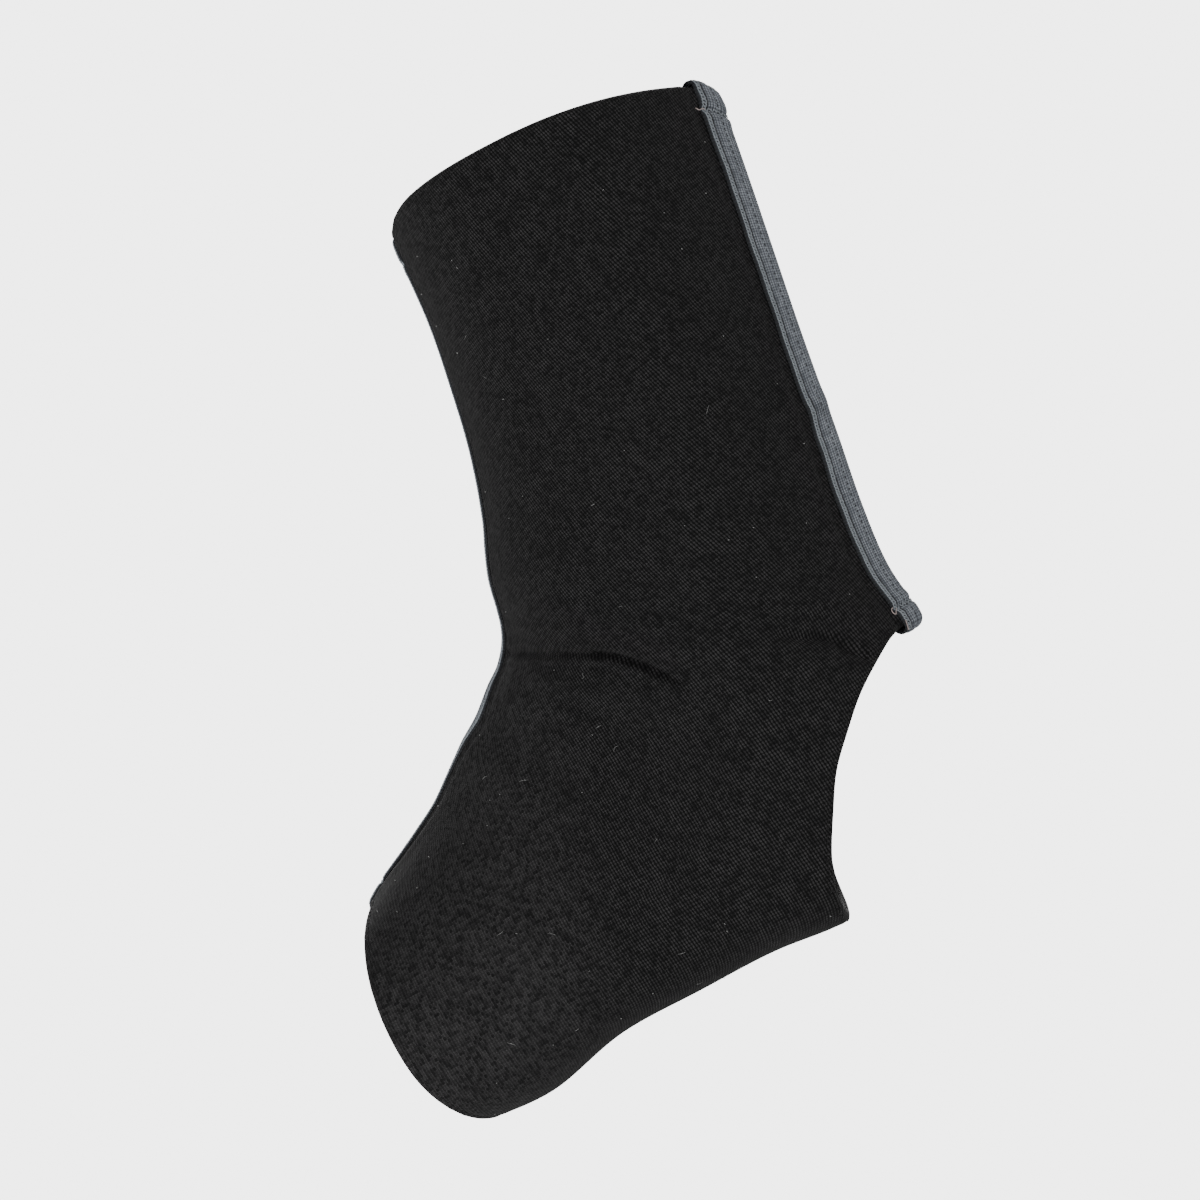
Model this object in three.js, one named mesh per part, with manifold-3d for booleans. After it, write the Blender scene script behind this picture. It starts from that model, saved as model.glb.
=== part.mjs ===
// A pull-on ankle sleeve, open at the toes and at the heel, in the form that it keeps on an ankle.
// One cut of cloth-faced rubber foam wraps the ankle and the foot. Its edges are glued to each other
// down the shin and instep, and down the back of the leg, and each of these two seams lies under a
// knitted grey tape whose ends fold over the rims of the sleeve.
//
// Millimetres, +Z up, toes towards -X. The origin is the centre of the ankle joint, in the hollow,
// and the sleeve is the same on both sides of the plane Y = 0.
import * as THREE from "three";
import { mergeVertices } from "three/addons/utils/BufferGeometryUtils.js";
import Module from "manifold-3d";

// Driving sizes of the sleeve
const RIM_HEIGHT = 125; // ankle centre up to the top rim at the shin
const SOLE_DROP = 67; // ankle centre down to the sole
const TOE_REACH = 87.5; // ankle centre forward to the toe rim at the instep
const BACK_REACH = 75; // ankle centre back to the top rim behind the calf
const LEG_WIDTH = 76; // across the leg, outside
const FOOT_WIDTH = 88; // across the foot, outside
const WALL = 3; // foam with cloth on both faces
const TOP_ARCH = 10.5; // rise of the top rim at its sides over its two seams
const TOE_ARCH = 6.5; // reach of the toe rim at its sides past the instep seam

// Driving sizes of the two seam tapes
const TAPE_WIDTH = 15;
const TAPE_THICK = 0.9;
const TAPE_TURN_IN = 7; // how far a folded end reaches down inside
const TAPE_GAP = 0.3; // between a tape and the cloth

// Driving sizes of the folds and of the swell over the ankle bone
const FOLD_DEPTH = 2.6;
const FOLD_WIDTH = 4.5;
const FOLD_ROLL = 1.1; // height of the roll of cloth beside a fold
const ROLL_AWAY = 2; // from the fold's line to the top of its roll, in fold widths
const BONE_RISE = 2.4;
const BONE_RADIUS = 17;

// Fineness of the meshes
const RINGS_PER_ROW = 2;
const RING_POINTS = 48;
const TAPE_COLUMNS = 5;
const TURN_STEPS = 5; // round a rim
const CURVE_POINTS = 40; // on the heel edge and on each fold line
const BISECTIONS = 30;
const SLIGHT = 1e-3; // of a row or a radian, to find a slope
const ARC_STRIDE = 0.02; // of a radian, to measure round the sleeve

// Sections from the top rim to the toe rim. front is on the shin and instep seam, and back is on
// the back seam, round the heel and along the sole. Both are [along, up] as shares: along of
// TOE_REACH forward and of BACK_REACH backward, up of RIM_HEIGHT above the ankle and of SOLE_DROP
// below. foot blends LEG_WIDTH, 0, into FOOT_WIDTH, 1, and wide is the share of it. mid is how far
// from front to back the widest place lies. keel is how sharp the front and the back are, from a
// round 0 to a ridge at 1, and a flat over 2 flattens the back half, as the sole is.
const SECTIONS = [
  { front: [-0.117, 1], back: [0.98, 0.956], foot: 0, wide: 1, mid: 0.5, keel: [0.12, 0.66], flat: 2 },
  { front: [-0.126, 0.84], back: [0.951, 0.816], foot: 0, wide: 0.995, mid: 0.5, keel: [0.12, 0.66], flat: 2 },
  { front: [-0.156, 0.69], back: [0.912, 0.656], foot: 0, wide: 0.98, mid: 0.5, keel: [0.12, 0.66], flat: 2 },
  { front: [-0.186, 0.576], back: [0.873, 0.488], foot: 0, wide: 0.96, mid: 0.5, keel: [0.12, 0.66], flat: 2 },
  { front: [-0.231, 0.46], back: [0.836, 0.304], foot: 0, wide: 0.95, mid: 0.5, keel: [0.13, 0.68], flat: 2 },
  { front: [-0.288, 0.352], back: [0.804, 0.16], foot: 0.05, wide: 0.95, mid: 0.48, keel: [0.15, 0.68], flat: 2 },
  { front: [-0.333, 0.257], back: [0.79, 0.035], foot: 0.1, wide: 0.95, mid: 0.46, keel: [0.2, 0.68], flat: 2 },
  { front: [-0.382, 0.193], back: [0.822, -0.12], foot: 0.15, wide: 0.95, mid: 0.45, keel: [0.22, 0.6], flat: 2 },
  { front: [-0.44, 0.155], back: [0.84, -0.36], foot: 0.2, wide: 0.93, mid: 0.45, keel: [0.22, 0.35], flat: 2 },
  { front: [-0.506, 0.117], back: [0.73, -0.72], foot: 0.3, wide: 0.91, mid: 0.46, keel: [0.2, 0.15], flat: 2.1 },
  { front: [-0.576, 0.076], back: [0.47, -0.965], foot: 0.4, wide: 0.9, mid: 0.48, keel: [0.2, 0], flat: 2.2 },
  { front: [-0.646, 0.036], back: [0.19, -1.005], foot: 0.5, wide: 0.9, mid: 0.52, keel: [0.2, 0], flat: 2.4 },
  { front: [-0.716, -0.006], back: [-0.06, -1], foot: 0.62, wide: 0.9, mid: 0.55, keel: [0.2, 0], flat: 2.5 },
  { front: [-0.786, -0.06], back: [-0.275, -1.005], foot: 0.75, wide: 0.92, mid: 0.57, keel: [0.2, 0], flat: 2.6 },
  { front: [-0.856, -0.11], back: [-0.48, -1.01], foot: 0.88, wide: 0.95, mid: 0.58, keel: [0.2, 0], flat: 2.6 },
  { front: [-0.926, -0.158], back: [-0.68, -1.09], foot: 1, wide: 0.985, mid: 0.58, keel: [0.2, 0], flat: 2.5 },
  { front: [-0.995, -0.213], back: [-0.95, -1.088], foot: 1, wide: 1, mid: 0.57, keel: [0.2, 0], flat: 2.3 },
];

// The edge of the heel opening seen from the side, from behind the back seam down past the sole,
// in the same shares.
const HEEL_EDGE = [
  [0.96, -0.165],
  [0.83, -0.17],
  [0.715, -0.195],
  [0.567, -0.285],
  [0.459, -0.397],
  [0.367, -0.496],
  [0.302, -0.616],
  [0.244, -0.742],
  [0.217, -0.85],
  [0.209, -0.94],
  [0.209, -1.15],
];

// Lines along which the cloth is pressed in, seen from the side, in the same shares. depth is the
// share of FOLD_DEPTH.
const FOLDS = [
  { depth: 1, line: [[-0.42, 0.215], [-0.24, 0.17], [-0.12, 0.125], [0, 0.065], [0.04, 0.005]] },
  { depth: 0.8, line: [[0.39, 0.012], [0.46, -0.015], [0.53, -0.065], [0.58, -0.125]] },
  { depth: 0.35, line: [[-0.52, 0.12], [-0.42, 0.02], [-0.34, -0.16]] },
];
const BONE_PLACE = [0.19, -0.02];

// How a rim arches. The smaller a hold, the sharper the seam pulls the rim back. ease rounds the
// bottom of the dip, as a share of half the width, and an arch dies away over some rows of the table.
const ARCH = { shinHold: 0.5, backHold: 0.2, instepHold: 1, soleRound: 1.5, ease: 0.12, rows: 4, fade: 1.5 };

const along = (share) => share * (share < 0 ? TOE_REACH : BACK_REACH);
const up = (share) => share * (share < 0 ? SOLE_DROP : RIM_HEIGHT);
const spot = ([a, u]) => new THREE.Vector2(along(a), up(u));
const LAST_ROW = SECTIONS.length - 1;

// A value of the table at any row, on a smooth curve through the rows about it.
function between(row, read) {
  const low = Math.min(Math.max(Math.floor(row), 0), LAST_ROW - 1);
  const part = row - low;
  const at = (i) => read(SECTIONS[Math.min(Math.max(i, 0), LAST_ROW)]);
  const [a, b, c, d] = [at(low - 1), at(low), at(low + 1), at(low + 2)];
  const bend = 2 * a - 5 * b + 4 * c - d + part * (3 * (b - c) + d - a);
  return b + 0.5 * part * (c - a + part * bend);
}

function section(row) {
  const point = (name) =>
    new THREE.Vector2(between(row, (s) => along(s[name][0])), between(row, (s) => up(s[name][1])));
  const width = (s) => s.wide * (LEG_WIDTH + s.foot * (FOOT_WIDTH - LEG_WIDTH));
  return {
    front: point("front"),
    back: point("back"),
    half: between(row, width) / 2,
    mid: between(row, (s) => s.mid),
    keel: [between(row, (s) => s.keel[0]), between(row, (s) => s.keel[1])],
    flat: between(row, (s) => s.flat),
  };
}

// How far along the sleeve a place moves towards the top, because its rims arch between the seams.
function archAt(row, turn) {
  const eased = (x) => Math.hypot(x, ARCH.ease) - ARCH.ease;
  const side = eased(Math.sin(turn)) / eased(1);
  const atFront = Math.cos(turn) > 0;
  const held = (hold) => ((1 + hold) * side) / (side + hold);
  const fade = (rows) => Math.max(0, 1 - rows / ARCH.rows) ** ARCH.fade;
  const top = TOP_ARCH * fade(row) * held(atFront ? ARCH.shinHold : ARCH.backHold);
  const toe = TOE_ARCH * fade(LAST_ROW - row) * (atFront ? held(ARCH.instepHold) : side ** ARCH.soleRound);
  return top - toe;
}

// A point of the outer face before its folds. row runs from the top rim to the toe rim, and turn
// from 0 at the front seam to PI at the back, with the sign of Y.
function bare(row, anyTurn, arch = archAt(row, anyTurn)) {
  const s = section(row);
  const turn = anyTurn - 2 * Math.PI * Math.round(anyTurn / (2 * Math.PI));
  const atFront = Math.cos(turn) > 0;
  const forward = s.front.clone().sub(s.back);
  const length = forward.length();
  forward.divideScalar(length);
  const part = atFront ? Math.abs(turn) : Math.PI - Math.abs(turn);
  const power = atFront ? 1 : 2 / s.flat;
  const keel = s.keel[atFront ? 0 : 1];
  const reach = (1 - keel) * Math.max(Math.cos(part), 0) ** power + keel * (1 - (2 * part) / Math.PI);
  const depth = atFront ? s.mid * reach : (s.mid - 1) * reach;
  const p = s.front
    .addScaledVector(forward, (depth - s.mid) * length)
    .add(new THREE.Vector2(forward.y, -forward.x).multiplyScalar(arch));
  return new THREE.Vector3(p.x, Math.sign(turn) * s.half * Math.max(Math.sin(part), 0) ** power, p.y);
}

const foldLines = FOLDS.map(({ depth, line }) => ({
  depth,
  points: new THREE.SplineCurve(line.map(spot)).getPoints(CURVE_POINTS),
}));
const bell = (x) => Math.exp(-x * x);

// Height of the cloth over its smooth form, from the side view alone: folds, rolls and ankle bone.
function relief(x, z) {
  const here = new THREE.Vector2(x, z);
  let height = BONE_RISE * bell(here.distanceTo(spot(BONE_PLACE)) / BONE_RADIUS);
  for (const { depth, points } of foldLines) {
    const away = Math.min(...points.map((p) => p.distanceTo(here))) / FOLD_WIDTH;
    height += depth * (FOLD_ROLL * bell(away - ROLL_AWAY) - FOLD_DEPTH * bell(away));
  }
  return height;
}

// A point of the cloth, out along its normal from the outer face. follow says how much of the
// relief it takes.
function cloth(row, turn, out, follow = (height) => height) {
  const p = bare(row, turn);
  const down = bare(row + SLIGHT, turn).sub(bare(row - SLIGHT, turn));
  const round = bare(row, turn + SLIGHT).sub(bare(row, turn - SLIGHT));
  return p.addScaledVector(round.cross(down).normalize(), out + follow(relief(p.x, p.z)));
}

// Adds four corners to an index as two faces, which look out where the corners run clockwise.
const quadsOf = (index) => (a, b, c, d) => index.push(a, c, b, a, d, c);

// A closed body from loops of points of equal count, capped by the strips between the two halves
// of its first and last loops.
function loft(loops) {
  const count = loops[0].length;
  const index = [];
  const quad = quadsOf(index);
  for (let i = 0; i + 1 < loops.length; i++)
    for (let j = 0; j < count; j++) {
      const k = (j + 1) % count;
      quad(i * count + j, i * count + k, (i + 1) * count + k, (i + 1) * count + j);
    }
  const last = (loops.length - 1) * count;
  for (let j = 0; j + 1 < count / 2; j++) {
    const [a, b, c, d] = [j, j + 1, count - 2 - j, count - 1 - j];
    quad(d, c, b, a);
    quad(last + a, last + b, last + c, last + d);
  }
  return closed(loops.flat(), index);
}

function closed(points, index) {
  const geometry = new THREE.BufferGeometry().setFromPoints(points);
  geometry.setIndex(index);
  return geometry;
}

// The sleeve before its heel opening is cut: an outer and an inner face, joined at both rims.
function sleeveTube() {
  const rings = LAST_ROW * RINGS_PER_ROW;
  const points = [];
  for (const out of [0, -WALL])
    for (let i = 0; i <= rings; i++)
      for (let j = 0; j < RING_POINTS; j++)
        points.push(cloth(i / RINGS_PER_ROW, (2 * Math.PI * j) / RING_POINTS - Math.PI, out));
  const index = [];
  const at = (face, i, j) => (face * (rings + 1) + i) * RING_POINTS + (j % RING_POINTS);
  const quad = quadsOf(index);
  for (let j = 0; j < RING_POINTS; j++) {
    for (let i = 0; i < rings; i++) {
      quad(at(0, i, j), at(0, i + 1, j), at(0, i + 1, j + 1), at(0, i, j + 1));
      quad(at(1, i, j), at(1, i, j + 1), at(1, i + 1, j + 1), at(1, i + 1, j));
    }
    quad(at(0, 0, j), at(0, 0, j + 1), at(1, 0, j + 1), at(1, 0, j));
    quad(at(0, rings, j), at(1, rings, j), at(1, rings, j + 1), at(0, rings, j + 1));
  }
  return closed(points, index);
}

const heelEdge = new THREE.SplineCurve(HEEL_EDGE.map(spot)).getPoints(CURVE_POINTS);

// What is cut away for the heel: all that lies behind the edge, straight through from side to side.
function heelCutter() {
  const far = 2 * BACK_REACH;
  const end = heelEdge[heelEdge.length - 1];
  const outline = [...heelEdge, new THREE.Vector2(far, end.y), new THREE.Vector2(far, heelEdge[0].y)];
  const cutter = new THREE.ExtrudeGeometry(new THREE.Shape(outline), {
    depth: 2 * FOOT_WIDTH,
    bevelEnabled: false,
  });
  return cutter.rotateX(Math.PI / 2).translate(0, FOOT_WIDTH, 0);
}

const wasm = await Module();
wasm.setup();

function solid(geometry) {
  geometry.deleteAttribute("normal");
  geometry.deleteAttribute("uv");
  const merged = mergeVertices(geometry, 1e-4);
  return new wasm.Manifold(
    new wasm.Mesh({
      numProp: 3,
      vertProperties: merged.attributes.position.array,
      triVerts: new Uint32Array(merged.index.array),
    }),
  );
}

function surface(made) {
  const { numProp, numVert, vertProperties, triVerts } = made.getMesh();
  const position = new Float32Array(numVert * 3);
  for (let i = 0; i < numVert; i++)
    position.set(vertProperties.subarray(i * numProp, i * numProp + 3), i * 3);
  const geometry = new THREE.BufferGeometry();
  geometry.setAttribute("position", new THREE.BufferAttribute(position, 3));
  geometry.setIndex(new THREE.BufferAttribute(triVerts, 1));
  geometry.computeVertexNormals();
  return geometry;
}

// The turn at which the outer face lies a given length from a seam, measured round the sleeve.
function turnAt(row, seam, length) {
  const stride = Math.sign(length) * ARC_STRIDE;
  let left = Math.abs(length);
  let turn = seam;
  while (left > 0) {
    const moved = bare(row, turn + stride, 0).distanceTo(bare(row, turn, 0));
    turn += stride * Math.min(1, left / moved);
    left -= moved;
  }
  return turn;
}

// The row at which a tape's column meets the heel edge, in the middle of the cloth.
function heelRow(seam, length) {
  const heightAt = (x) => {
    const i = heelEdge.findIndex((p) => p.x < x);
    const [a, b] = [heelEdge[i - 1], heelEdge[i]];
    return a.y + ((b.y - a.y) * (x - a.x)) / (b.x - a.x);
  };
  let [above, below] = [LAST_ROW / 4, LAST_ROW / 2];
  for (let i = 0; i < BISECTIONS; i++) {
    const row = (above + below) / 2;
    const p = cloth(row, turnAt(row, seam, length), -WALL / 2);
    if (p.z > heightAt(p.x)) above = row;
    else below = row;
  }
  return above;
}

// A tape laid along a seam. endRow gives the row where each of its columns reaches the far rim.
function tape(seam, endRow) {
  const columns = Array.from({ length: TAPE_COLUMNS }, (_, i) => {
    const length = TAPE_WIDTH * (i / (TAPE_COLUMNS - 1) - 0.5);
    return { length, top: { row: 0, inward: 1 }, far: { row: endRow(length), inward: -1 } };
  });
  // Over the cloth the tape stays straighter where the cloth falls into a fold.
  const follow = (height) => Math.max(height, height / 3);
  const at = (row, length, out) => cloth(row, turnAt(row, seam, length), out, follow);

  // Round a rim: half a circle about the middle of the wall, from the outer face to the inner one.
  const round = (length, { row, inward }, angle, height) => {
    const middle = at(row, length, -WALL / 2);
    const outward = at(row, length, 0).sub(middle).normalize();
    const away = middle.clone().sub(at(row + inward * SLIGHT, length, -WALL / 2)).normalize();
    const radius = WALL / 2 + TAPE_GAP + height;
    return middle
      .addScaledVector(outward, radius * Math.cos(angle))
      .addScaledVector(away, radius * Math.sin(angle));
  };
  // Down inside a rim, by a share of the folded end.
  const inside = (length, { row, inward }, share, height) => {
    const near = at(row, length, -WALL);
    const rowLength = at(row + inward * SLIGHT, length, -WALL).distanceTo(near) / SLIGHT;
    return at(row + (inward * share * TAPE_TURN_IN) / rowLength, length, -WALL - TAPE_GAP - height);
  };

  const foldedEnd = (rim) => [
    ...[1, 0.5].map((share) => (c, h) => inside(c.length, c[rim], share, h)),
    ...Array.from({ length: TURN_STEPS + 1 }, (_, i) => Math.PI * (1 - i / TURN_STEPS)).map(
      (angle) => (c, h) => round(c.length, c[rim], angle, h),
    ),
  ];
  const lastRing = Math.ceil(Math.min(...columns.map((c) => c.far.row)) * RINGS_PER_ROW) - 1;
  const places = [
    ...foldedEnd("top"),
    ...Array.from({ length: lastRing }, (_, i) => (i + 1) / RINGS_PER_ROW).map(
      (row) => (c, h) => at(row, c.length, TAPE_GAP + h),
    ),
    ...foldedEnd("far").toReversed(),
  ];
  return loft(
    places.map((place) => [
      ...columns.map((c) => place(c, 0)),
      ...columns.toReversed().map((c) => place(c, TAPE_THICK)),
    ]),
  );
}

const knit = new THREE.MeshStandardMaterial({ color: 0x1d1c1d, roughness: 0.85, metalness: 0 });
const greyTape = new THREE.MeshStandardMaterial({ color: 0x6e7379, roughness: 0.75, metalness: 0 });

const brace = new THREE.Group();
function add(name, geometry, material) {
  const mesh = new THREE.Mesh(geometry, material);
  mesh.name = name;
  brace.add(mesh);
}

add("sleeve", surface(solid(sleeveTube()).subtract(solid(heelCutter()))), knit);
add("front_seam_tape", tape(0, () => LAST_ROW), greyTape);
add("back_seam_tape", tape(Math.PI, (length) => heelRow(Math.PI, length)), greyTape);

export default brace;
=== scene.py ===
import math

import bmesh
import bpy
import numpy as np
from mathutils import Matrix, Vector
from mathutils.geometry import delaunay_2d_cdt


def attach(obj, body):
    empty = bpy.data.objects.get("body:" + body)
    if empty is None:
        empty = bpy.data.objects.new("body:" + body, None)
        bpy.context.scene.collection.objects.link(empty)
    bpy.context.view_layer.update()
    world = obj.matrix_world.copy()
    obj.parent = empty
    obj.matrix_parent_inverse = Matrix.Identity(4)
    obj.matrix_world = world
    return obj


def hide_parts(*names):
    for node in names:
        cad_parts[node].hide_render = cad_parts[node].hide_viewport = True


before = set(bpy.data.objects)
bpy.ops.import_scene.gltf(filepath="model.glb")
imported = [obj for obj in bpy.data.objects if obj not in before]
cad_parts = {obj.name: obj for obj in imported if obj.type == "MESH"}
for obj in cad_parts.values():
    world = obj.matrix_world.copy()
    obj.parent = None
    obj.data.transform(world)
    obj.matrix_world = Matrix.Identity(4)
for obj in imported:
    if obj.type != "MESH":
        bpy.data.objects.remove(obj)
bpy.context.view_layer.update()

# The sleeve
# One cut of 3 mm rubber foam with black knitted nylon glued to both faces. It is folded under the
# foot, and its edges are glued to each other down the shin and instep and up the back of the leg.
# Every length is in millimetres until a mesh is made.
RIM_HEIGHT = 125.0
SOLE_DROP = 67.0
TOE_REACH = 87.5
BACK_REACH = 75.0
LEG_WIDTH = 76.0
FOOT_WIDTH = 88.0
WALL = 3.0
TOP_ARCH = 9.0
TOE_ARCH = 7.3

# front along, front up, back along, back up, foot, wide, mid, front keel, back keel, flat
SECTIONS = np.array([
    [-0.126, 1, 0.987, 0.974, 0, 1, 0.5, 0.12, 0.66, 2],
    [-0.135, 0.84, 0.955, 0.824, 0, 0.995, 0.5, 0.12, 0.66, 2],
    [-0.165, 0.69, 0.916, 0.656, 0, 0.98, 0.5, 0.12, 0.66, 2],
    [-0.196, 0.576, 0.877, 0.488, 0, 0.96, 0.5, 0.12, 0.66, 2],
    [-0.244, 0.46, 0.84, 0.304, 0, 0.95, 0.5, 0.13, 0.68, 2],
    [-0.304, 0.352, 0.808, 0.16, 0.05, 0.95, 0.48, 0.15, 0.68, 2],
    [-0.331, 0.257, 0.793, 0.035, 0.1, 0.95, 0.46, 0.2, 0.68, 2],
    [-0.386, 0.193, 0.811, -0.12, 0.15, 0.95, 0.45, 0.22, 0.6, 2],
    [-0.441, 0.16, 0.836, -0.36, 0.2, 0.93, 0.45, 0.22, 0.35, 2],
    [-0.506, 0.119, 0.73, -0.72, 0.3, 0.91, 0.46, 0.2, 0.15, 2.1],
    [-0.576, 0.085, 0.47, -0.98, 0.4, 0.9, 0.48, 0.2, 0, 2.4],
    [-0.646, 0.045, 0.19, -1.02, 0.5, 0.9, 0.52, 0.2, 0, 2.6],
    [-0.716, 0.006, -0.06, -1, 0.62, 0.9, 0.55, 0.2, 0, 2.6],
    [-0.786, -0.043, -0.275, -1.005, 0.75, 0.92, 0.57, 0.2, 0, 2.6],
    [-0.856, -0.093, -0.526, -1.016, 0.88, 0.95, 0.58, 0.2, 0, 2.6],
    [-0.926, -0.141, -0.76, -1.09, 1, 0.985, 0.58, 0.2, 0, 2.5],
    [-0.995, -0.198, -0.938, -1.086, 1, 1, 0.57, 0.2, 0, 2.3],
])
TOE_ROW = len(SECTIONS) - 1.0
# How far the leg is turned in the sleeve at each row, and how far round from its ridge the front tape
# lies, both in radians.
TWIST = np.array([0.1, 0.1, 0.1, 0.1, 0.1, 0.1, 0.08, 0.05, 0.02] + [0.0] * 8)
TAPE_ROUND = np.array([0.1] * 6 + [0.1, 0.07, 0.05, 0.07, 0.11, 0.145] + [0.155] * 5)
HEEL_EDGE = [
    [0.96, -0.152], [0.83, -0.155], [0.74, -0.16], [0.675, -0.19], [0.548, -0.285], [0.444, -0.397],
    [0.364, -0.496], [0.299, -0.616], [0.237, -0.742], [0.2, -0.85], [0.189, -0.94], [0.193, -1.15],
]


def side_view(shares):
    """Places in the side view, from shares of the sleeve's reaches and heights."""
    shares = np.array(shares, float)
    reach = np.where(shares[:, 0] < 0, TOE_REACH, BACK_REACH)
    rise = np.where(shares[:, 1] < 0, SOLE_DROP, RIM_HEIGHT)
    return shares * np.stack([reach, rise], 1)


def between(at, values):
    """Values of a table at any place, on a smooth curve through its entries."""
    last = len(values) - 1
    low = np.clip(np.floor(at).astype(int), 0, last - 1)
    part = (at - low).reshape(at.shape + (1,) * (values.ndim - 1))
    a, b, c, d = (values[np.clip(low + k, 0, last)] for k in (-1, 0, 1, 2))
    bend = 2 * a - 5 * b + 4 * c - d + part * (3 * (b - c) + d - a)
    return b + 0.5 * part * (c - a + part * bend)


def between_both(at_row, at_column, table):
    """Values of a table between its rows and its columns, on straight lines."""
    row, column = at_row.astype(int), at_column.astype(int)
    extra = (1,) * (table.ndim - 2)
    down = (at_row - row).reshape(row.shape + extra)
    over = (at_column - column).reshape(row.shape + extra)
    upper = table[row, column] * (1 - over) + table[row, column + 1] * over
    lower = table[row + 1, column] * (1 - over) + table[row + 1, column + 1] * over
    return upper * (1 - down) + lower * down


def curve(shares, count):
    points = side_view(shares)
    return between(np.linspace(0, len(points) - 1, count), points)


def unit(vectors):
    return vectors / np.maximum(np.linalg.norm(vectors, axis=-1, keepdims=True), 1e-12)


front_seam_line = side_view(SECTIONS[:, 0:2])
back_seam_line = side_view(SECTIONS[:, 2:4])
half_width = SECTIONS[:, 5] * (LEG_WIDTH + SECTIONS[:, 4] * (FOOT_WIDTH - LEG_WIDTH)) / 2


def arch(row, turn):
    """How far a place moves towards the top, because both rims arch between the two seams."""
    side = (np.hypot(np.sin(turn), 0.12) - 0.12) / (math.hypot(1, 0.12) - 0.12)
    at_front = np.cos(turn) > 0
    top = TOP_ARCH * np.clip(1 - row / 4, 0, None) ** 1.5
    top = top * np.where(at_front, 1.4 * side / (side + 0.4), 0.52 * side + 0.5 * side / (side + 0.055))
    toe = TOE_ARCH * np.clip(1 - (TOE_ROW - row) / 4, 0, None) ** 1.5
    return top - toe * np.where(at_front, side * (1.3 - 0.3 * side), side ** 1.5)


def form(row, turn, arched=True):
    """The outer face before its folds. row runs from the top rim to the toe rim, and turn from 0 at
    the front seam to pi at the back one."""
    row, turn = np.broadcast_arrays(np.asarray(row, float), np.asarray(turn, float))
    lift = arch(row, turn) if arched else np.zeros(row.shape)
    turn = turn - 2 * math.pi * np.round(turn / (2 * math.pi))
    front, back = between(row, front_seam_line), between(row, back_seam_line)
    forward = unit(front - back)
    length = np.linalg.norm(front - back, axis=-1)
    at_front = np.cos(turn) > 0
    part = np.where(at_front, np.abs(turn), math.pi - np.abs(turn))
    power = np.where(at_front, 1, 2 / between(row, SECTIONS[:, 9]))
    keel = np.where(at_front, between(row, SECTIONS[:, 7]), between(row, SECTIONS[:, 8]))
    # The ridge over a seam is rounded, because the cloth can't be creased there.
    eased = part - 0.035 * (1 - np.exp(-part / 0.035)) * np.clip(1 - 2 * part / math.pi, 0, None)
    reach = (1 - keel) * np.clip(np.cos(part), 0, None) ** power + keel * (1 - 2 * eased / math.pi)
    mid = between(row, SECTIONS[:, 6])
    depth = np.where(at_front, mid, mid - 1) * reach
    deep = depth * length
    wide = np.sign(turn) * between(row, half_width) * np.clip(np.sin(part), 0, None) ** power
    twist = between(row, TWIST)
    width = wide * np.cos(twist) + deep * np.sin(twist)
    deep = deep * np.cos(twist) - wide * np.sin(twist)
    side = front + forward * (deep - mid * length)[..., None]
    side = side + np.stack([forward[..., 1], -forward[..., 0]], -1) * lift[..., None]
    return np.stack([side[..., 0], width, side[..., 1]], -1)


def slopes(row, turn, step):
    """How far the form moves with row and with turn, in mm a unit of each."""
    by_row = (form(row + step, turn) - form(row - step, turn)) / (2 * step)
    by_turn = (form(row, turn + step) - form(row, turn - step)) / (2 * step)
    return by_row, by_turn


def normal_of(row, turn):
    by_row, by_turn = slopes(row, turn, 2e-3)
    return unit(np.cross(by_turn, by_row))


def bell(x):
    return np.exp(-x * x)


def away_from(line, side):
    """Distance in the side view from each place to a line, and how far along the line that is."""
    flat = side.reshape(-1, 2)
    distance = np.empty(len(flat))
    where = np.empty(len(flat))
    for start in range(0, len(flat), 8000):
        gaps = np.linalg.norm(flat[start:start + 8000, None] - line[None], axis=-1)
        distance[start:start + 8000] = gaps.min(1)
        where[start:start + 8000] = gaps.argmin(1) / (len(line) - 1)
    return distance.reshape(side.shape[:-1]), where.reshape(side.shape[:-1])


# The folds of the form itself, as a depth and a line in mm: the crease in front of the ankle, the one
# behind it, and a hollow over the instep.
FOLDS = [
    (1.25, [(-40, 27), (-28.5, 25), (-16.8, 19.8), (-8.5, 15.4), (-1.1, 9), (3, 3.7), (6, -1)]),
    (1.5, [(27, 2.5), (34.5, -2), (40.1, -4.7), (43.8, -9.6), (47, -15)]),
    (0.8, [(-46, 15), (-37, 3), (-30, -11)]),
]
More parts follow.
